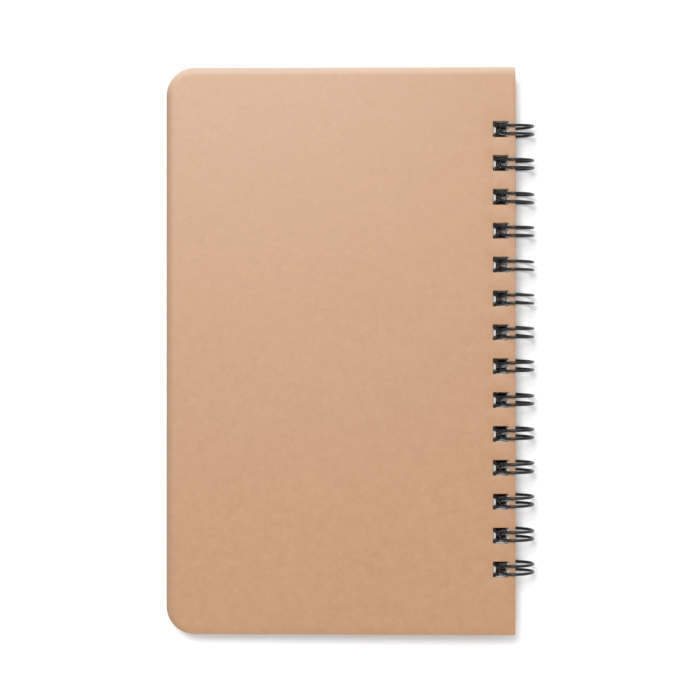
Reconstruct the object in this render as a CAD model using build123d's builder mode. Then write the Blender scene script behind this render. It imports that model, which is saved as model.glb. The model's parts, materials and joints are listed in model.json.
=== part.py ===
"""Pocket notebook with kraft board covers, loose leaves and a twin-loop wire binding.

Frame: millimetres, +Z up, +Y towards the head of the book, +X towards the binding.
The closed book lies face down, front cover below and back cover above. It rests on
the rings along its spine and on the fore-edge of its front cover. The origin is at
the middle of the book's footprint, on the surface it rests on.

Every leaf and cover turns about the axis of the rings. Heights h and offsets x in
the names below are measured from that axis.
"""
from math import asin, atan2, cos, degrees, hypot, pi, radians, sin, sqrt
import os

from build123d import *

os.makedirs("parts", exist_ok=True)

# ---------------------------------------------------------------- dimensions
# covers
COVER_WIDTH = 87.5          # spine edge to fore-edge
COVER_HEIGHT = 142.0        # head to tail
COVER_CORNER = 7.0          # radius of the two fore-edge corners
BOARD = 0.56                # thickness of the board
LINING = 0.12               # thickness of the kraft paper on each side
COVER = BOARD + 2 * LINING
ROLL_WIDTH = 1.5            # the outer edge of each cover is pressed down over this width
ROLL_DROP = 0.28            # and by this much
ROLL_ROUND = 3.6            # radius where the pressed edge meets the flat face

# punched row
HOLES = 14
PITCH = 25.4 / 3            # three holes to the inch
ROW_SHIFT = 0.46            # the row's middle stands this much nearer the head
HOLE = 3.96                 # square hole in the covers
HOLE_ROUND = 0.30
HOLE_MARGIN = 1.65          # from the spine edge to the holes

# twin-loop wire
WIRE = 0.70                 # wire diameter
RING = 4.75                 # radius of the wire's centreline
TWIN = 2.03                 # between the two wires of one loop
ROOT_BEND = 0.60            # centreline radius where the wire turns out of its back line

# leaves
LEAVES = 50
LEAF = 0.099                # thickness of one leaf
LEAF_PITCH = 0.1076
LEAF_WIDTH = 85.3           # spine edge to fore-edge
LEAF_INSET = 2.0            # covers stand this far beyond the leaves at the head and the tail
LEAF_CORNER = 5.5
LEAF_STRIP = 1.73           # from the spine edge of a leaf to its holes
LEAF_HOLE_HEIGHT = 4.0
LEAF_CLEAR = 0.10           # between a leaf's holes and the wire

# how the closed book lies
BOOK_HALF = 3.90            # each cover's outer face to the rings' axis
FRONT_SPINE = -0.25         # spine edge of the front cover, from the rings' axis
BACK_SPINE = 0.08           # spine edge of the back cover, slid a little further on to the rings
LEAF_SPINE = -0.02          # spine edge of the leaves
FRONT_TILT = 0.79           # degrees, fore-edge down: front cover and leaves
BACK_TILT = 1.24            # degrees, fore-edge down: back cover

# ------------------------------------------------------------- derived values
R_OUT = RING + WIRE / 2
AXIS_X = 41.30              # the rings' axis in the row's frame
AXIS_Z = R_OUT
INNER = BOOK_HALF - COVER   # inner face of each cover, from the axis
FIRST_LEAF_H = -INNER + 0.02
LEAF_TOP = FIRST_LEAF_H + LEAVES * LEAF_PITCH
LEAF_FORE = LEAF_SPINE - LEAF_WIDTH
LEAF_HALF_HEIGHT = COVER_HEIGHT / 2 - LEAF_INSET
HOLE_Y = [ROW_SHIFT + ((HOLES - 1) / 2 - i) * PITCH for i in range(HOLES)]


def sheet_plane(tilt):
    """The plane through the rings' axis that a sheet tilted fore-edge down lies along."""
    a = radians(tilt)
    return Plane(origin=(AXIS_X, 0, AXIS_Z), x_dir=(cos(a), 0, sin(a)), z_dir=(-sin(a), 0, cos(a)))


front_plane = sheet_plane(FRONT_TILT)
back_plane = sheet_plane(BACK_TILT)

# ------------------------------------------------------------ cover profiles
def cover_profile(spine):
    """The outline of a cover with its punched row, used by every layer of the cover."""
    fore = spine - COVER_WIDTH
    with BuildSketch() as profile:
        with BuildLine():
            Polyline(
                (spine, -COVER_HEIGHT / 2),
                (spine, COVER_HEIGHT / 2),
                (fore, COVER_HEIGHT / 2),
                (fore, -COVER_HEIGHT / 2),
                close=True,
            )
        make_face()
        fillet(profile.vertices().group_by(Axis.X)[0], radius=COVER_CORNER)
        with Locations(*[(spine - HOLE_MARGIN - HOLE / 2, y) for y in HOLE_Y]):
            RectangleRounded(HOLE, HOLE, HOLE_ROUND, mode=Mode.SUBTRACT)
    return profile.sketch


front_profile = cover_profile(FRONT_SPINE)
back_profile = cover_profile(BACK_SPINE)


def rolled_plate(profile, plane, start, thickness):
    """A cover-shaped plate from start outwards, its outer edge pressed down all round.

    thickness is negative on the front cover, whose outer face looks down.
    """
    with BuildPart() as plate:
        with BuildSketch(plane.offset(start)):
            add(profile)
        extrude(amount=thickness)
        outward = plane.z_dir * (1 if thickness > 0 else -1)
        outer = plate.faces().sort_by(Axis(plane.origin, outward))[-1]
        chamfer(outer.outer_wire().edges(), length=ROLL_WIDTH, length2=ROLL_DROP, reference=outer)
        outer = plate.faces().sort_by(Axis(plane.origin, outward))[-1]
        fillet(outer.outer_wire().edges(), radius=ROLL_ROUND)
    return plate.part


# ------------------------------------------------------------------ front cover
with BuildPart() as front_cover_board:
    add(rolled_plate(front_profile, front_plane, -(INNER + LINING), -BOARD))

with BuildPart() as front_cover_outer_lining:
    add(rolled_plate(front_profile, front_plane, -(INNER + LINING), -(BOARD + LINING)))
    add(front_cover_board.part, mode=Mode.SUBTRACT)

with BuildPart() as front_cover_inner_lining:
    with BuildSketch(front_plane.offset(-INNER)):
        add(front_profile)
    extrude(amount=-LINING)

# ------------------------------------------------------------------- back cover
with BuildPart() as back_cover_board:
    add(rolled_plate(back_profile, back_plane, INNER + LINING, BOARD))

with BuildPart() as back_cover_outer_lining:
    add(rolled_plate(back_profile, back_plane, INNER + LINING, BOARD + LINING))
    add(back_cover_board.part, mode=Mode.SUBTRACT)

with BuildPart() as back_cover_inner_lining:
    with BuildSketch(back_plane.offset(INNER)):
        add(back_profile)
    extrude(amount=LINING)


# ----------------------------------------------------------------------- leaves
def leaf_hole_left(h):
    """Fore-edge side of a leaf's holes: clear of the wire at the leaf's underside.

    The leaves above the rings' axis have slid a little towards the rings.
    """
    return -(sqrt(R_OUT**2 - max(h, 0.0) ** 2) + LEAF_CLEAR)


def leaves(first, last):
    """Leaves first to last, counted from the front cover, each a solid of its own."""
    made = []
    for n in range(first, last + 1):
        h = FIRST_LEAF_H + (n - 1) * LEAF_PITCH
        hole_left, hole_right = leaf_hole_left(h), LEAF_SPINE - LEAF_STRIP
        hole_x = (hole_left + hole_right) / 2
        with BuildPart() as leaf:
            with BuildSketch(front_plane.offset(h)) as outline:
                with BuildLine():
                    Polyline(
                        (LEAF_SPINE, -LEAF_HALF_HEIGHT),
                        (LEAF_SPINE, LEAF_HALF_HEIGHT),
                        (LEAF_FORE, LEAF_HALF_HEIGHT),
                        (LEAF_FORE, -LEAF_HALF_HEIGHT),
                        close=True,
                    )
                make_face()
                fillet(outline.vertices().group_by(Axis.X)[0], radius=LEAF_CORNER)
                with Locations(*[(hole_x, y) for y in HOLE_Y]):
                    Rectangle(hole_right - hole_left, LEAF_HOLE_HEIGHT, mode=Mode.SUBTRACT)
            extrude(amount=LEAF)
        made.append(leaf.part.solid())
    return made


# the first and the last leaf turn alone, and those between them in fours
LEAF_NODES = {"first_leaf": (1, 1)}
for start in range(2, LEAVES - 1, 4):
    LEAF_NODES[f"leaves_{start:02d}_{start + 3:02d}"] = (start, start + 3)
LEAF_NODES["last_leaf"] = (LEAVES, LEAVES)

# ----------------------------------------------------------------- binding wire
# One wire, bent to and fro. Each loop is two wires side by side that leave the back
# line, go down through the leaves' holes, round the spine and over the back cover, and
# meet in a U-shaped tip beside the back line. The back line lies between the last leaf
# and the back cover, and the straight lengths of it join each loop to the next.
tilt = radians(FRONT_TILT)
back_line_h = INNER - WIRE / 2 - 0.04
back_line_r = hypot(RING, ROOT_BEND)
back_line_a = pi - asin(back_line_h / back_line_r)              # from the sheets' +x, towards their normal
start_a = back_line_a + atan2(ROOT_BEND, RING) + tilt           # where the round part begins
tip_r = hypot(RING, TWIN / 2)
tip_a = back_line_a - (WIRE + 0.06) / RING                      # the furthest point of the tip
end_a = 2 * pi + tip_a - atan2(TWIN / 2, RING) + tilt           # where the round part ends
loop_turn = degrees(end_a - start_a)


def ring_point(a, y=0.0):
    return Vector(AXIS_X + RING * cos(a), y, AXIS_Z + RING * sin(a))


def ring_tangent(a):
    return Vector(-sin(a), 0, cos(a))


ring_axis = Axis((AXIS_X, 0, AXIS_Z), (0, -1, 0))    # turns +X towards +Z
start, going = ring_point(start_a), ring_tangent(start_a)
end, arriving = ring_point(end_a), ring_tangent(end_a)
half = TWIN / 2
straight = PITCH / 2 - half - ROOT_BEND

with BuildPart() as half_loop:
    # round part, at +y
    with BuildSketch(Plane(origin=start + Vector(0, half, 0), x_dir=(0, 1, 0), z_dir=going)):
        Circle(WIRE / 2)
    revolve(axis=ring_axis, revolution_arc=loop_turn)
    # half of the tip
    with BuildSketch(Plane(origin=end + Vector(0, half, 0), x_dir=(0, 1, 0), z_dir=arriving)):
        Circle(WIRE / 2)
    revolve(axis=Axis(end, Vector(0, 1, 0).cross(arriving)), revolution_arc=90)
    # the bend into the back line
    with BuildSketch(Plane(origin=start + Vector(0, half, 0), x_dir=(0, 1, 0), z_dir=going * -1)):
        Circle(WIRE / 2)
    revolve(
        axis=Axis(start + Vector(0, half + ROOT_BEND, 0), Vector(0, 1, 0).cross(going)),
        revolution_arc=90,
    )
    # half of the straight length of the back line to the next loop
    with BuildSketch(
        Plane(
            origin=start - going * ROOT_BEND + Vector(0, half + ROOT_BEND, 0),
            x_dir=(1, 0, 0),
            z_dir=(0, 1, 0),
        )
    ):
        Circle(WIRE / 2)
    extrude(amount=straight)

with BuildPart() as loop:
    add(half_loop.part)
    mirror(about=Plane.XZ)

with BuildPart() as binding_wire:
    add([loop.part.moved(Location((0, y, 0))) for y in HOLE_Y])

# ---------------------------------------------------------------------- writing
pieces = {
    "front_cover_board": front_cover_board.part,
    "front_cover_outer_lining": front_cover_outer_lining.part,
    "front_cover_inner_lining": front_cover_inner_lining.part,
    "back_cover_board": back_cover_board.part,
    "back_cover_outer_lining": back_cover_outer_lining.part,
    "back_cover_inner_lining": back_cover_inner_lining.part,
    "binding_wire": binding_wire.part,
}
for name, (first, last) in LEAF_NODES.items():
    pieces[name] = Compound(children=leaves(first, last))

for name, piece in pieces.items():
    piece.label = name
    export_step(piece, f"parts/{name}.step")
    box = piece.bounding_box()
    print(f"{name:28s} solids {len(piece.solids()):2d} volume {piece.volume:9.2f} "
          f"x {box.min.X:7.2f} {box.max.X:7.2f} y {box.min.Y:7.2f} {box.max.Y:7.2f} z {box.min.Z:6.2f} {box.max.Z:6.2f}")
print("leaf stack top", LEAF_TOP, "back line height", back_line_h, "inner face", INNER)
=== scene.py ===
import json
import math
import random

import bpy
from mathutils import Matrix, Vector, geometry, noise

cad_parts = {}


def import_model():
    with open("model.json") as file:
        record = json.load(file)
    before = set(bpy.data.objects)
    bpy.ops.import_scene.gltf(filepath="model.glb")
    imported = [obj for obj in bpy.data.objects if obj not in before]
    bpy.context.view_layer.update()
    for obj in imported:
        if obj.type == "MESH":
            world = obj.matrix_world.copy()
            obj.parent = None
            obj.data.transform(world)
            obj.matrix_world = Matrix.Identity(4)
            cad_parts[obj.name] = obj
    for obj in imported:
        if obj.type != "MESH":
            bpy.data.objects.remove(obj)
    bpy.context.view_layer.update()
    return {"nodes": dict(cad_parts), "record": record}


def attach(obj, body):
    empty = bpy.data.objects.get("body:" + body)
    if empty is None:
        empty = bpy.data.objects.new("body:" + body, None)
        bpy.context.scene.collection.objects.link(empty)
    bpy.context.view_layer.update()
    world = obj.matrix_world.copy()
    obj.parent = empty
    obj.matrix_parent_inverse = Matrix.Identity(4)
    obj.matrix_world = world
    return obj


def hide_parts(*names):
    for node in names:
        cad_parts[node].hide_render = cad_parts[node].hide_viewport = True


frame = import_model()

# ------------------------------------------------------------------ dimensions
# millimetres, as in the CAD part; every mesh below is written in metres at the end
AX, AZ = 41.30, 5.10                    # the rings' axis
FRONT_TILT, BACK_TILT = math.radians(0.79), math.radians(1.24)
COVER_W, COVER_H, CORNER = 87.5, 142.0, 7.0
FRONT_SPINE, BACK_SPINE = -0.25, 0.08
INNER, BOARD, LINING = 3.10, 0.56, 0.12
COVER = BOARD + 2 * LINING
HOLES, PITCH, ROW_SHIFT = 14, 25.4 / 3, 0.46
HOLE, HOLE_ROUND, HOLE_MARGIN = 3.96, 0.30, 1.65
HOLE_Y = [ROW_SHIFT + ((HOLES - 1) / 2 - i) * PITCH for i in range(HOLES)]
LEAF, LEAF_PITCH, FIRST_H = 0.099, 0.1076, -3.08
LEAF_SPINE, LEAF_W, LEAF_HALF, LEAF_CORNER = -0.02, 85.3, 69.0, 5.5
LEAF_STRIP, LEAF_HOLE_H, LEAF_CLEAR = 1.73, 4.0, 0.10
WIRE, RING, TWIN, BEND = 0.70, 4.75, 2.03, 0.60
R_OUT = RING + WIRE / 2
MM = 0.001


def world(u, v, h, tilt):
    """A point of a sheet: u and h from the rings' axis, along the sheet and across it."""
    c, s = math.cos(tilt), math.sin(tilt)
    return Vector(((AX + u * c - h * s) * MM, v * MM, (AZ + u * s + h * c) * MM))


def finish_mesh(name, verts, faces, sharp=38.0):
    mesh = bpy.data.meshes.new(name)
    mesh.from_pydata([tuple(v) for v in verts], [], faces)
    mesh.validate()
    mesh.update()
    for p in mesh.polygons:
        p.use_smooth = True
    mesh.set_sharp_from_angle(angle=math.radians(sharp))
    obj = bpy.data.objects.new(name, mesh)
    bpy.context.scene.collection.objects.link(obj)
    return obj


# ------------------------------------------------------------- sheets with holes
def rounded(x0, y0, x1, y1, radii, step, arc):
    """Anticlockwise outline; radii and the order of corners: (x1,y1), (x0,y1), (x0,y0), (x1,y0)."""
    pts = []
    corners = [((x1, y1), 0.0), ((x0, y1), 90.0), ((x0, y0), 180.0), ((x1, y0), 270.0)]
    signs = [(-1, -1), (1, -1), (1, 1), (-1, 1)]
    for ((cx, cy), a0), (sx, sy), r in zip(corners, signs, radii):
        r = max(r, 0.01)
        n = arc if r > 0.06 else 2
        for k in range(n + 1):
            a = math.radians(a0 + 90.0 * k / n)
            pts.append((cx + sx * r + r * math.cos(a), cy + sy * r + r * math.sin(a)))
    out = []
    for (ax, ay), (bx, by) in zip(pts, pts[1:] + pts[:1]):
        d = math.hypot(bx - ax, by - ay)
        n = max(1, int(round(d / step)))
        for k in range(n):
            out.append((ax + (bx - ax) * k / n, ay + (by - ay) * k / n))
    return out


def inside_hole(x, y, x0, y0, x1, y1, r, grow=0.0):
    """Distance of a point outside a rounded rectangle; negative within it."""
    cx, cy = (x0 + x1) / 2, (y0 + y1) / 2
    hx, hy = (x1 - x0) / 2 - r, (y1 - y0) / 2 - r
    dx, dy = abs(x - cx) - hx, abs(y - cy) - hy
    return math.hypot(max(dx, 0), max(dy, 0)) + min(max(dx, dy), 0) - r - grow


def fill(outer, inner_loops, hole_sets, grid, keep):
    """Triangles between the outline and the holes. keep(x, y) says if a triangle's middle is paper."""
    pts, edges = [], []

    def loop(points):
        n = len(pts)
        pts.extend(Vector(p) for p in points)
        edges.extend((n + k, n + (k + 1) % len(points)) for k in range(len(points)))

    loop(outer)
    for l in inner_loops:
        loop(l)
    for hs in hole_sets:
        for l in hs:
            loop(l)
    pts.extend(Vector(p) for p in grid)
    co, _, tris, _, _, _ = geometry.delaunay_2d_cdt(pts, edges, [], 0, 1e-5)
    co = [(c[0], c[1]) for c in co]
    faces = []
    for t in tris:
        x = sum(co[i][0] for i in t) / 3
        y = sum(co[i][1] for i in t) / 3
        if keep(x, y):
            a, b, c = (co[i] for i in t[:3])
            area = (b[0] - a[0]) * (c[1] - a[1]) - (c[0] - a[0]) * (b[1] - a[1])
            if abs(area) > 1e-9:
                faces.append(tuple(t) if area > 0 else tuple(reversed(t)))
    used = sorted({i for f in faces for i in f})
    new = {i: k for k, i in enumerate(used)}
    return [co[i] for i in used], [tuple(new[i] for i in f) for f in faces]


def boundary(faces):
    seen = {}
    for f in faces:
        for a, b in zip(f, f[1:] + f[:1]):
            seen[(a, b)] = 1
    return [(a, b) for (a, b) in seen if (b, a) not in seen]


def key(p):
    return (round(p[0], 4), round(p[1], 4))


def slab(top, bottom, top_h, bottom_h, place, flip):
    """A closed sheet from two fillings that share their edges. place(u, v, h) gives the point."""
    (tc, tf), (bc, bf) = top, bottom
    verts = [place(x, y, top_h(x, y)) for x, y in tc]
    n = len(verts)
    verts += [place(x, y, bottom_h(x, y)) for x, y in bc]
    faces = list(tf) + [tuple(n + i for i in reversed(f)) for f in bf]
    at = {key(c): k for k, c in enumerate(bc)}
    for a, b in boundary(tf):
        ba, bb = at[key(tc[a])], at[key(tc[b])]
        faces.append((b, a, n + ba, n + bb))
    if flip:
        faces = [tuple(reversed(f)) for f in faces]
    return verts, faces


# ----------------------------------------------------------------------- covers
def cover_pieces(prefix, spine, tilt, side, body, seed):
    fore, top = spine - COVER_W + 0.12, COVER_H / 2
    holes = [(spine - HOLE_MARGIN - HOLE, y - HOLE / 2, spine - HOLE_MARGIN, y + HOLE / 2) for y in HOLE_Y]

    def outline(s, step=1.5, arc=26):
        sp = min(s * 0.72, 1.42)
        r = CORNER - s
        return rounded(fore + s, -top + s, spine - sp, top - s,
                       (max(0.45 - s, 0.03), r, r, max(0.45 - s, 0.03)), step, arc)

    def hole_loops(e, step=0.5):
        return [rounded(a - e, b - e, c + e, d + e, (HOLE_ROUND + e,) * 4, step, 8) for a, b, c, d in holes]

    def to_edge(x, y):
        """Distance in from the three outer sides, round the corners."""
        dx, dy = x - fore, top - abs(y)
        if dx < CORNER and dy < CORNER:
            return CORNER - math.hypot(CORNER - dx, CORNER - dy)
        return min(dx, dy)

    def to_hole(x, y):
        if x < spine - HOLE_MARGIN - HOLE - 0.6:
            return 9.0
        i = min(range(HOLES), key=lambda k: abs(y - HOLE_Y[k]))
        a, b, c, d = holes[i]
        return inside_hole(x, y, a, b, c, d, HOLE_ROUND)

    def keep(x, y):
        return to_hole(x, y) > -0.0015

    def pressed(x, y):
        """How far the edge is pressed down: most at the head and fore-edge, less at the tail and spine."""
        d, tail = to_edge(x, y), min(max((-(top - CORNER) - y) / CORNER, 0.0), 1.0)
        deep = 0.28 - 0.13 * tail
        drop = deep * (1 - d / 1.9) ** 2 if d < 1.9 else 0.0
        d = spine - x
        if d < 1.3:
            drop += 0.03 * (1 - d / 1.3) ** 2 * (1 - drop / 0.3)
        return drop

    def fore_edge_shade(x, y):
        """Painted shade along the fore-edge roll, fading out round its corners."""
        d = to_edge(x, y)
        if d > 2.1 or x > fore + CORNER:
            return 0.0
        across = 1.0 if abs(y) < top - CORNER else (CORNER - (x - fore)) / CORNER
        if y > top - CORNER:
            across = max(0.0, across - 0.45) / 0.55
        return max(0.0, 1 - d / 2.1) ** 1.3 * max(0.0, across)

    def painted_head_highlight(x, y):
        """Painted highlight along the pressed-down head edge, round to the corner."""
        d = to_edge(x, y)
        if d > 1.9 or y < top - CORNER:
            return 0.0
        round_to = min(1.0, (y - (top - CORNER)) / CORNER * 1.35) if x < fore + CORNER else 1.0
        return max(0.0, 1 - d / 1.9) ** 1.1 * round_to

    def outer_h(x, y):
        h = INNER + COVER - pressed(x, y)
        d = min(to_edge(x, y), spine - x)
        if d < 0.08:
            h -= 0.06 * (1 - math.sqrt(max(0.0, 1 - (1 - d / 0.08) ** 2)))
        e = to_hole(x, y)
        if e < 0.22:
            e = max(e, 0.0)
            h -= 0.035 * (1 - e / 0.22) ** 2
            if e < 0.05:
                h -= 0.03 * (1 - math.sqrt(max(0.0, 1 - (1 - e / 0.05) ** 2)))
        wave = noise.noise(Vector((x / 26, y / 26, seed))) * 0.012 + noise.noise(Vector((x / 7, y / 7, seed + 5))) * 0.004
        return h + min(wave, 0.012)

    def under_h(x, y):
        return INNER + COVER - LINING - pressed(x, y)

    fine = fill(
        outline(0),
        [outline(s) for s in (0.012, 0.04, 0.08, 0.25, 0.5, 0.8, 1.1, 1.4, 1.7, 1.9)],
        [hole_loops(e) for e in (0.0, 0.012, 0.05, 0.22)],
        [(fore + 3.0 + 2.9 * i + 0.3 * (j % 2), -top + 3.0 + 2.95 * j)
         for i in range(27) for j in range(47)],
        keep)
    plain = fill(
        outline(0), [outline(s) for s in (0.5, 1.1, 1.9)], [hole_loops(0.0)],
        [(fore + 6.0 + 11.0 * i, -top + 6.0 + 11.0 * j) for i in range(7) for j in range(12)], keep)

    def place(x, y, h):
        return world(x, y, side * h, tilt)

    def rough(x, y, h):
        """The cut edge of the board, a little inside the paper on its faces and fibrous."""
        d = min(to_edge(x, y), spine - x)
        if d < 0.01 or abs(to_hole(x, y)) < 0.01:
            k = 0.018 + 0.012 * noise.noise(Vector((x * 1.7, y * 1.7, h * 2.5 + seed)))
            cx, cy = spine - COVER_W / 2, 0.0
            if abs(to_hole(x, y)) < 0.01:
                i = min(range(HOLES), key=lambda q: abs(y - HOLE_Y[q]))
                ox, oy = spine - HOLE_MARGIN - HOLE / 2, HOLE_Y[i]
                v = Vector((x - ox, y - oy))
                v.normalize()
                x, y = x + v.x * k, y + v.y * k
            else:
                x += k if x < cx - 40 else (-k if x > cx + 40 else 0)
                y += k if y < cy - 67 else (-k if y > cy + 67 else 0)
        return world(x, y, side * h, tilt)

    flip = side < 0
    made = []
    for part, (t, b, th, bh, how) in {
        "outer_lining": (fine, plain, outer_h, under_h, place),
        "board": (plain, plain, under_h, lambda x, y: INNER + LINING, rough),
        "inner_lining": (plain, plain, lambda x, y: INNER + LINING, lambda x, y: INNER, place),
    }.items():
        node = f"{prefix}_cover_{part}"
        obj = finish_mesh("visual_" + node, *slab(t, b, th, bh, how, flip))
        obj.data.materials.append(MATERIALS["grey_board" if part == "board" else "kraft_paper"])
        if part == "outer_lining":
            # a point layer of painted shade along the fore-edge roll, mixed into the kraft colour
            tone_layer = obj.data.attributes.new("painted_edge_shade", "FLOAT", "POINT")
            flat = t[0] + b[0]
            tone_layer.data.foreach_set("value", [fore_edge_shade(x, y) for x, y in flat])
            # a point layer of painted highlight along the head edge
            light = obj.data.attributes.new("painted_head_highlight", "FLOAT", "POINT")
            light.data.foreach_set("value", [painted_head_highlight(x, y) for x, y in flat])
        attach(obj, body)
        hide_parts(node)
        made.append(obj)
    return made


# ----------------------------------------------------------------------- leaves
def leaf_slabs(first, last, rng):
    verts, faces, walls = [], [], []
    for n in range(first, last + 1):
        h = FIRST_H + (n - 1) * LEAF_PITCH
        left = -(math.sqrt(R_OUT ** 2 - max(h, 0.0) ** 2) + LEAF_CLEAR)
        dx, dy = rng.uniform(-0.09, -0.012), rng.uniform(-0.16, 0.16)
        turn = math.radians(rng.uniform(-0.02, 0.02))
        ct, st = math.cos(turn), math.sin(turn)
        fore = LEAF_SPINE - LEAF_W
        holes = [(left, y - LEAF_HOLE_H / 2, LEAF_SPINE - LEAF_STRIP, y + LEAF_HOLE_H / 2) for y in HOLE_Y]
        outer = rounded(fore, -LEAF_HALF, LEAF_SPINE, LEAF_HALF, (0.02, LEAF_CORNER, LEAF_CORNER, 0.02), 8.0, 16)
        loops = [rounded(a, b, c, d, (0.12,) * 4, 9.0, 4) for a, b, c, d in holes]

        def keep(x, y):
            for a, b, c, d in holes:
                if a < x < c and b < y < d and inside_hole(x, y, a, b, c, d, 0.12) < -0.0015:
                    return False
            return True

        flat = fill(outer, [], [loops], [], keep)

        def place(x, y, hh):
            return world(x * ct - y * st + dx - 0.0, x * st + y * ct + dy, hh, FRONT_TILT)

        v, f = slab(flat, flat, lambda x, y: h + LEAF, lambda x, y: h, place, False)
        k, m = len(verts), len(flat[0])
        verts += v
        faces += [tuple(k + i for i in t) for t in f]
        for t in f:
            x = flat[0][t[0] % m][0]
            # hole-wall faces get 1, for painted shade inside the punched holes
            walls.append(1.0 if len(t) == 4 and left - 0.1 < x < LEAF_SPINE - LEAF_STRIP + 0.1 else 0.0)
    return verts, faces, walls


# ------------------------------------------------------------------------- wire
def wire_path():
    """The centreline of the whole wire, from the head to the tail, in the leaves' own directions.

    Each loop rises from the back line through a short hook, since the back line lies on the
    last leaf, then goes round the spine, and its tip lies in the back cover's hole.
    """
    rng = random.Random(41)
    hb = 2.68                                   # height of the back line
    a0, a1 = math.radians(160), math.radians(490)
    hook, corner = 0.42, 0.50                   # radii of the hook and of the turn into the back line
    # how far each loop leans off square, at its outermost point and underneath
    lean = [0.09, 0.00, -0.22, -0.02, -0.19, -0.08, -0.02, 0.12, 0.07, 0.05, 0.04, 0.15, -0.03, 0.10]
    skew = [-0.02, 0.12, 0.10, 0.16, 0.22, 0.26, 0.30, 0.28, 0.20, 0.16, 0.10, 0.12, 0.04, 0.02]
    low = 0.12                                  # the whole row of loops hangs this much towards the tail
    twin = [8.2, 7.6, 8.4, 8.1, 8.0, 8.1, 8.4, 8.0, 7.9, 8.1, 8.4, 7.9, 8.0, 8.0]
    half, tip_half = TWIN / 2, 0.80
    # the hook, in (u, h): level, then down to meet the round part at a0
    pu, ph = RING * math.cos(a0), RING * math.sin(a0)
    du, dh = math.sin(a0), -math.cos(a0)        # up along the wire from there
    reach = (hb - ph) / dh
    vu = pu + du * reach
    turn = math.pi / 2 + math.atan2(du, dh)
    lead = hook * math.tan(turn / 2)
    level = vu - lead                           # where the level part ends
    back_u = level - corner

    def hook_points():
        cu, ch = level, hb - hook
        return [(cu + hook * math.sin(turn * k / 12), ch + hook * math.cos(turn * k / 12)) for k in range(13)]

    pts = [(back_u, HOLE_Y[0] + PITCH / 2, hb)]
    steps = 118
    for i, yc in enumerate(HOLE_Y):
        wide = (twin[i] * 0.2503 - TWIN) / 2
        slip, drop = rng.uniform(-0.08, 0.06), rng.uniform(-0.02, 0.03)

        def off(a, way):
            right = math.exp(-((a - 2 * math.pi) / 0.95) ** 2)
            under = math.exp(-((a - 1.5 * math.pi) / 0.85) ** 2)
            return lean[i] * right + skew[i] * under + way * wide * math.exp(-((a - 2 * math.pi) / 1.2) ** 2)

        def wire_side(way):
            """One wire of the loop, from the back line to where the tip begins."""
            y = yc - low + way * half
            out = []
            for k in range(9):
                q = math.radians(90 * k / 8)
                out.append((level - corner * math.cos(q), y + way * corner * (1 - math.sin(q)), hb))
            out += [(u, y, h) for u, h in hook_points()[1:]]
            for k in range(steps + 1):
                a = a0 + (a1 - a0) * k / steps
                close = max(0.0, (a - a1) / 0.30 + 1) ** 2 * (half - tip_half)
                out.append((RING * math.cos(a), y + off(a, way) - way * close, RING * math.sin(a)))
            return out

        there, back = wire_side(1), wire_side(-1)
        pts += there
        for k in range(1, 18):
            q = math.pi * k / 18
            a = a1 + (1.05 + slip) * math.sin(q) * (1 + 0.04 * math.sin(2 * q) ** 2) / RING
            pts.append((RING * math.cos(a), yc - low + tip_half * math.cos(q), RING * math.sin(a) - drop * math.sin(q)))
        pts += list(reversed(back))
        mid = yc - PITCH / 2
        sag = rng.uniform(-0.015, 0.015)
        if i == HOLES - 1:
            pts.append((back_u, mid, hb))
        else:
            pts.append((back_u + sag, mid, hb))
    return [world(u, y, h, FRONT_TILT) for u, y, h in pts]


def tube(name, pts, radius, sides=14):
    """A round wire along points, its frame carried along without twist, its ends slightly rounded."""
    verts, faces = [], []
    n = len(pts)
    tangents = []
    for k in range(n):
        a, b = pts[max(k - 1, 0)], pts[min(k + 1, n - 1)]
        t = b - a
        t.normalize()
        tangents.append(t)
    side = tangents[0].orthogonal()
    side.normalize()
    sections = [(pts[0] - tangents[0] * 0.0, 0.80)] + [(p, 1.0) for p in pts] + [(pts[-1], 0.80)]
    sections[0] = (pts[0] + tangents[0] * -radius * 0.15, 0.80)
    sections[-1] = (pts[-1] + tangents[-1] * radius * 0.15, 0.80)
    frames = [tangents[0]] + tangents + [tangents[-1]]
    for (p, k), t in zip(sections, frames):
        side = side - t * side.dot(t)
        side.normalize()
        other = t.cross(side)
        for j in range(sides):
            q = 2 * math.pi * j / sides
            verts.append(p + (side * math.cos(q) + other * math.sin(q)) * radius * k)
    m = len(sections)
    for i in range(m - 1):
        for j in range(sides):
            a, b = i * sides + j, i * sides + (j + 1) % sides
            faces.append((a, b, b + sides, a + sides))
    faces.append(tuple(reversed(range(sides))))
    faces.append(tuple(range((m - 1) * sides, m * sides)))
    return finish_mesh(name, verts, faces, 50.0)


# -------------------------------------------------------------------- materials
def material(name):
    mat = bpy.data.materials.new(name)
    mat.use_nodes = True
    nodes, links = mat.node_tree.nodes, mat.node_tree.links
    return mat, nodes, links, nodes["Principled BSDF"]


def rgb(r, g, b):
    return (r, g, b, 1.0)


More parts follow.
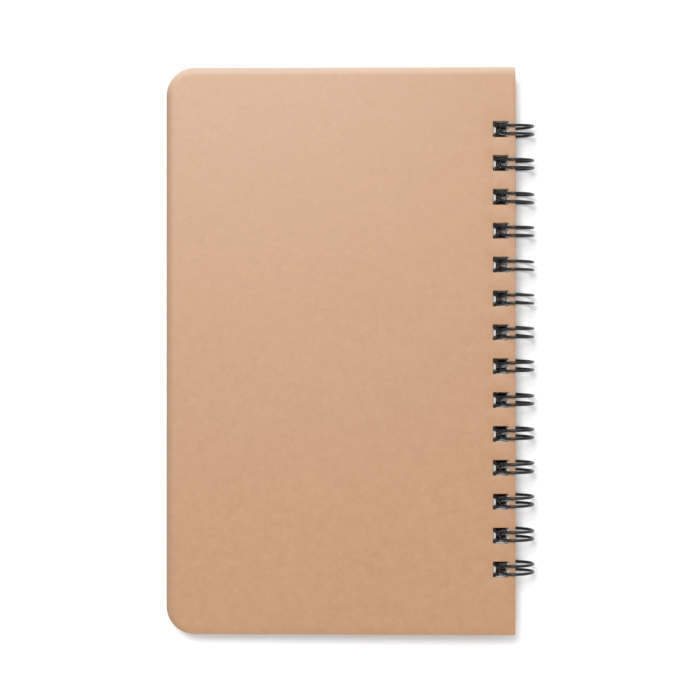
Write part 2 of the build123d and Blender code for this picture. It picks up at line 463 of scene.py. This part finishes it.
class Graph:
    """Small helpers for building a material's nodes."""

    def __init__(self, nodes, links):
        self.nodes, self.links = nodes, links
        self.coord = nodes.new("ShaderNodeTexCoord").outputs["Object"]

    def new(self, kind, **values):
        node = self.nodes.new(kind)
        for k, v in values.items():
            setattr(node, k, v)
        return node

    def scaled(self, x, y, z, turn=0.0):
        m = self.new("ShaderNodeMapping")
        m.inputs["Scale"].default_value = (x, y, z)
        m.inputs["Rotation"].default_value = (0, 0, turn)
        self.links.new(self.coord, m.inputs["Vector"])
        return m.outputs["Vector"]

    def noise(self, vector, scale, detail=3.0, rough=0.55, warp=0.0):
        n = self.new("ShaderNodeTexNoise")
        n.inputs["Scale"].default_value = scale
        n.inputs["Detail"].default_value = detail
        n.inputs["Roughness"].default_value = rough
        n.inputs["Distortion"].default_value = warp
        self.links.new(vector, n.inputs["Vector"])
        return n.outputs["Fac"]

    def ramp(self, value, low, high, a=0.0, b=1.0):
        m = self.new("ShaderNodeMapRange")
        m.inputs["From Min"].default_value = low
        m.inputs["From Max"].default_value = high
        m.inputs["To Min"].default_value = a
        m.inputs["To Max"].default_value = b
        self.links.new(value, m.inputs["Value"])
        return m.outputs["Result"]

    def math(self, op, a, b=None):
        m = self.new("ShaderNodeMath", operation=op)
        for k, v in enumerate((a, b)):
            if v is None:
                continue
            if isinstance(v, (int, float)):
                m.inputs[k].default_value = v
            else:
                self.links.new(v, m.inputs[k])
        return m.outputs[0]

    def mix(self, factor, a, b, how="MIX"):
        m = self.new("ShaderNodeMix", data_type="RGBA", blend_type=how)
        for socket, v in ((m.inputs["Factor"], factor), (m.inputs[6], a), (m.inputs[7], b)):
            if isinstance(v, (int, float, tuple)):
                socket.default_value = v
            else:
                self.links.new(v, socket)
        return m.outputs[2]

    def specks(self, scale, size, seed, share):
        """Sparse dots: 1 inside a dot. share is the part of the cells that has one."""
        m = self.new("ShaderNodeMapping")
        m.inputs["Location"].default_value = (seed, seed * 0.37, seed * 0.11)
        self.links.new(self.coord, m.inputs["Vector"])
        v = self.new("ShaderNodeTexVoronoi")
        v.inputs["Scale"].default_value = scale
        self.links.new(m.outputs["Vector"], v.inputs["Vector"])
        near = self.ramp(v.outputs["Distance"], size, size * 0.45)
        pick = self.new("ShaderNodeSeparateColor")
        self.links.new(v.outputs["Color"], pick.inputs["Color"])
        chosen = self.math("LESS_THAN", pick.outputs[0], share)
        return self.math("MULTIPLY", near, chosen)

    def bump(self, height, strength, distance, before=None):
        b = self.new("ShaderNodeBump")
        b.inputs["Strength"].default_value = strength
        b.inputs["Distance"].default_value = distance
        self.links.new(height, b.inputs["Height"])
        if before is not None:
            self.links.new(before, b.inputs["Normal"])
        return b.outputs["Normal"]


def kraft():
    mat, nodes, links, bsdf = material("kraft_paper")
    g = Graph(nodes, links)
    cloud = g.noise(g.scaled(1, 1, 1), 55, 3, 0.6)
    mottle = g.noise(g.scaled(1, 1, 1), 420, 4, 0.62, 0.4)
    grain = g.noise(g.scaled(1, 1, 1), 2600, 3, 0.7)
    fibre_a = g.noise(g.scaled(1, 0.16, 1, 0.55), 2100, 2, 0.5, 1.6)
    fibre_b = g.noise(g.scaled(0.18, 1, 1, -0.45), 1900, 2, 0.5, 1.6)
    fibre_c = g.noise(g.scaled(0.18, 1, 1, 0.95), 1700, 2, 0.5, 1.6)
    base, dark, light = rgb(0.430, 0.226, 0.110), rgb(0.362, 0.180, 0.078), rgb(0.510, 0.294, 0.162)
    c = g.mix(g.ramp(cloud, 0.3, 0.7, 0.0, 0.16), base, dark)
    c = g.mix(g.ramp(mottle, 0.35, 0.75, 0.0, 0.22), c, light)
    c = g.mix(g.ramp(mottle, 0.60, 0.25, 0.0, 0.20), c, dark)
    c = g.mix(g.ramp(fibre_a, 0.60, 0.76, 0.0, 0.20), c, light)
    c = g.mix(g.ramp(fibre_b, 0.60, 0.76, 0.0, 0.20), c, dark)
    c = g.mix(g.ramp(fibre_c, 0.62, 0.78, 0.0, 0.20), c, light)
    blotch = g.noise(g.scaled(1, 1, 1), 760, 2, 0.5, 0.8)
    c = g.mix(g.ramp(blotch, 0.57, 0.72, 0.0, 0.30), c, dark)
    c = g.mix(g.ramp(blotch, 0.42, 0.28, 0.0, 0.26), c, light)
    c = g.mix(g.ramp(grain, 0.35, 0.75, 0.0, 0.16), c, dark)
    c = g.mix(g.math("MULTIPLY", g.specks(62, 0.020, 0.013, 0.22), 0.75), c, rgb(0.13, 0.055, 0.025))
    c = g.mix(g.math("MULTIPLY", g.specks(48, 0.024, 0.171, 0.22), 0.70), c, rgb(0.75, 0.56, 0.30))
    c = g.mix(g.math("MULTIPLY", g.specks(260, 0.085, 0.071, 0.12), 0.25), c, dark)
    c = g.mix(g.math("MULTIPLY", g.specks(240, 0.085, 0.311, 0.12), 0.25), c, light)
    # painted shade on the fore-edge roll: the kraft darkens towards this brown where the layer is high
    painted_edge_shade = g.new("ShaderNodeAttribute", attribute_name="painted_edge_shade")
    c = g.mix(g.math("MULTIPLY", painted_edge_shade.outputs["Fac"], 0.62), c, rgb(0.235, 0.165, 0.115))
    # painted highlight on the head edge roll: the kraft turns paler towards this colour
    head_highlight_layer = g.new("ShaderNodeAttribute", attribute_name="painted_head_highlight")
    c = g.mix(g.math("MULTIPLY", head_highlight_layer.outputs["Fac"], 0.80), c, rgb(0.640, 0.490, 0.390))
    links.new(c, bsdf.inputs["Base Color"])
    links.new(g.ramp(mottle, 0.3, 0.7, 0.43, 0.48), bsdf.inputs["Roughness"])
    bsdf.inputs["Specular IOR Level"].default_value = 0.70
    bsdf.inputs["Specular Tint"].default_value = rgb(0.88, 0.97, 1.0)
    high = g.math("ADD", g.math("MULTIPLY", fibre_a, 0.6), g.math("MULTIPLY", fibre_b, 0.6))
    n = g.bump(high, 0.22, 0.00005)
    n = g.bump(grain, 0.30, 0.00004, n)
    n = g.bump(cloud, 0.20, 0.00025, n)
    links.new(n, bsdf.inputs["Normal"])
    return mat


def board():
    mat, nodes, links, bsdf = material("grey_board")
    g = Graph(nodes, links)
    layers = g.noise(g.scaled(0.12, 0.12, 1), 9000, 2, 0.6)
    fibre = g.noise(g.scaled(1, 1, 1), 3200, 4, 0.7, 0.5)
    c = g.mix(g.ramp(layers, 0.35, 0.65), rgb(0.33, 0.24, 0.165), rgb(0.47, 0.36, 0.26))
    c = g.mix(g.ramp(fibre, 0.45, 0.8, 0.0, 0.5), c, rgb(0.60, 0.49, 0.37))
    c = g.mix(g.ramp(fibre, 0.45, 0.25, 0.0, 0.5), c, rgb(0.22, 0.15, 0.10))
    links.new(c, bsdf.inputs["Base Color"])
    bsdf.inputs["Roughness"].default_value = 0.9
    bsdf.inputs["Specular IOR Level"].default_value = 0.3
    n = g.bump(layers, 0.5, 0.00005)
    links.new(g.bump(fibre, 0.5, 0.00005, n), bsdf.inputs["Normal"])
    return mat


def paper():
    mat, nodes, links, bsdf = material("page_paper")
    g = Graph(nodes, links)
    cloud = g.noise(g.scaled(1, 1, 1), 90, 3, 0.6)
    pulp = g.noise(g.scaled(1, 1, 1), 900, 4, 0.65, 0.3)
    fine = g.noise(g.scaled(1, 1, 1), 4200, 3, 0.7)
    sheet = g.noise(g.scaled(0.02, 0.02, 1), 9500, 1, 0.5)
    c = g.mix(g.ramp(cloud, 0.3, 0.7), rgb(0.690, 0.682, 0.655), rgb(0.720, 0.715, 0.692))
    c = g.mix(g.ramp(pulp, 0.55, 0.8, 0.0, 0.5), c, rgb(0.655, 0.642, 0.612))
    c = g.mix(g.ramp(sheet, 0.55, 0.75, 0.0, 0.35), c, rgb(0.560, 0.545, 0.510))
    # painted shade on the leaves' hole walls, darkening them nearly to black
    painted_hole_shade = g.new("ShaderNodeAttribute", attribute_name="painted_hole_shade")
    c = g.mix(g.math("MULTIPLY", painted_hole_shade.outputs["Fac"], 0.92), c, rgb(0.10, 0.098, 0.096))
    links.new(c, bsdf.inputs["Base Color"])
    bsdf.inputs["Roughness"].default_value = 0.8
    bsdf.inputs["Specular IOR Level"].default_value = 0.35
    n = g.bump(pulp, 0.18, 0.00006)
    links.new(g.bump(fine, 0.2, 0.00002, n), bsdf.inputs["Normal"])
    return mat


def coated_wire():
    mat, nodes, links, bsdf = material("black_wire")
    g = Graph(nodes, links)
    uneven = g.noise(g.scaled(1, 1, 1), 1500, 3, 0.6)
    fine = g.noise(g.scaled(1, 1, 1), 6000, 2, 0.6)
    tone_layer = g.noise(g.scaled(1, 1, 1), 380, 2, 0.5)
    c = g.mix(g.ramp(uneven, 0.3, 0.7), rgb(0.0050, 0.0055, 0.0070), rgb(0.0100, 0.0107, 0.0130))
    c = g.mix(g.ramp(tone_layer, 0.62, 0.78, 0.0, 0.5), c, rgb(0.022, 0.023, 0.026))
    links.new(c, bsdf.inputs["Base Color"])
    links.new(g.ramp(uneven, 0.25, 0.75, 0.24, 0.40), bsdf.inputs["Roughness"])
    bsdf.inputs["Specular IOR Level"].default_value = 0.30
    bsdf.inputs["Coat Weight"].default_value = 0.15
    bsdf.inputs["Coat Roughness"].default_value = 0.30
    n = g.bump(uneven, 0.25, 0.00005)
    links.new(g.bump(fine, 0.15, 0.00002, n), bsdf.inputs["Normal"])
    return mat


MATERIALS = {"kraft_paper": kraft(), "grey_board": board(), "page_paper": paper(), "black_wire": coated_wire()}

# ----------------------------------------------------------------------- object
cover_pieces("front", FRONT_SPINE, FRONT_TILT, -1, "front_cover", 3.0)
cover_pieces("back", BACK_SPINE, BACK_TILT, 1, "back_cover", 11.0)

groups = {"first_leaf": (1, 1)}
for s in range(2, 49, 4):
    groups[f"leaves_{s:02d}_{s + 3:02d}"] = (s, s + 3)
groups["last_leaf"] = (50, 50)
leaf_rng = random.Random(7)
for node, (a, b) in groups.items():
    leaf_verts, leaf_faces, leaf_walls = leaf_slabs(a, b, leaf_rng)
    sheets = finish_mesh("visual_" + node, leaf_verts, leaf_faces)
    # a face layer that marks the hole walls for painted shade
    painted_hole_shade = sheets.data.attributes.new("painted_hole_shade", "FLOAT", "FACE")
    painted_hole_shade.data.foreach_set("value", leaf_walls)
    sheets.data.materials.append(MATERIALS["page_paper"])
    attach(sheets, node)
    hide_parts(node)

wire = tube("visual_binding_wire", wire_path(), WIRE / 2 * MM)
wire.data.materials.append(MATERIALS["black_wire"])
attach(wire, "last_leaf")
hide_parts("binding_wire")

# the CAD nodes that these pieces stand for keep a finish of their own
for node, obj in frame["nodes"].items():
    slot = {m["node"]: m["material_slot"] for m in frame["record"]["subparts"]}[node]
    obj.data.materials.clear()
    obj.data.materials.append(MATERIALS[slot])

# ------------------------------------------------------------------------ stage
floor_mesh = bpy.data.meshes.new("floor")
floor_mesh.from_pydata([(-3, -3, 0), (3, -3, 0), (3, 3, 0), (-3, 3, 0)], [], [(0, 1, 2, 3)])
floor = bpy.data.objects.new("floor", floor_mesh)
bpy.context.scene.collection.objects.link(floor)
floor.location.z = -0.00003
fmat, _, _, fb = material("studio_floor")
fb.inputs["Base Color"].default_value = (0.94, 0.94, 0.94, 1)
fb.inputs["Roughness"].default_value = 0.9
fb.inputs["Specular IOR Level"].default_value = 0.1
floor.data.materials.append(fmat)

sky = bpy.data.worlds.new("studio")
sky.use_nodes = True
sky.node_tree.nodes["Background"].inputs["Color"].default_value = (1.0, 1.0, 1.0, 1)
sky.node_tree.nodes["Background"].inputs["Strength"].default_value = 0.75
bpy.context.scene.world = sky


def area(name, place, target, size, power, colour=(1, 1, 1)):
    light = bpy.data.lights.new(name, "AREA")
    light.shape = "RECTANGLE"
    light.size, light.size_y = size
    light.energy = power
    light.color = colour
    obj = bpy.data.objects.new(name, light)
    bpy.context.scene.collection.objects.link(obj)
    obj.location = place
    obj.rotation_euler = (Vector(target) - Vector(place)).to_track_quat("-Z", "Y").to_euler()
    return obj


area("key_light", (-0.13, 0.28, 0.86), (0, 0.0, 0), (0.28, 0.26), 5.3)

# ----------------------------------------------------------------------- camera
camera = bpy.data.cameras.new("camera")
camera.lens = 99.6
camera.sensor_width = 36.0
camera.shift_y = -47.0 / 700.0
camera.clip_start, camera.clip_end = 0.01, 10.0
eye = bpy.data.objects.new("camera", camera)
bpy.context.scene.collection.objects.link(eye)
eye.location = (-0.00004, 0.01203, 0.4928)
eye.rotation_euler = (0, 0, 0)
bpy.context.scene.camera = eye

bpy.context.scene.view_settings.view_transform = "Standard"
bpy.context.scene.view_settings.look = "None"
bpy.context.scene.view_settings.exposure = 0.0
bpy.context.scene.view_settings.gamma = 1.0
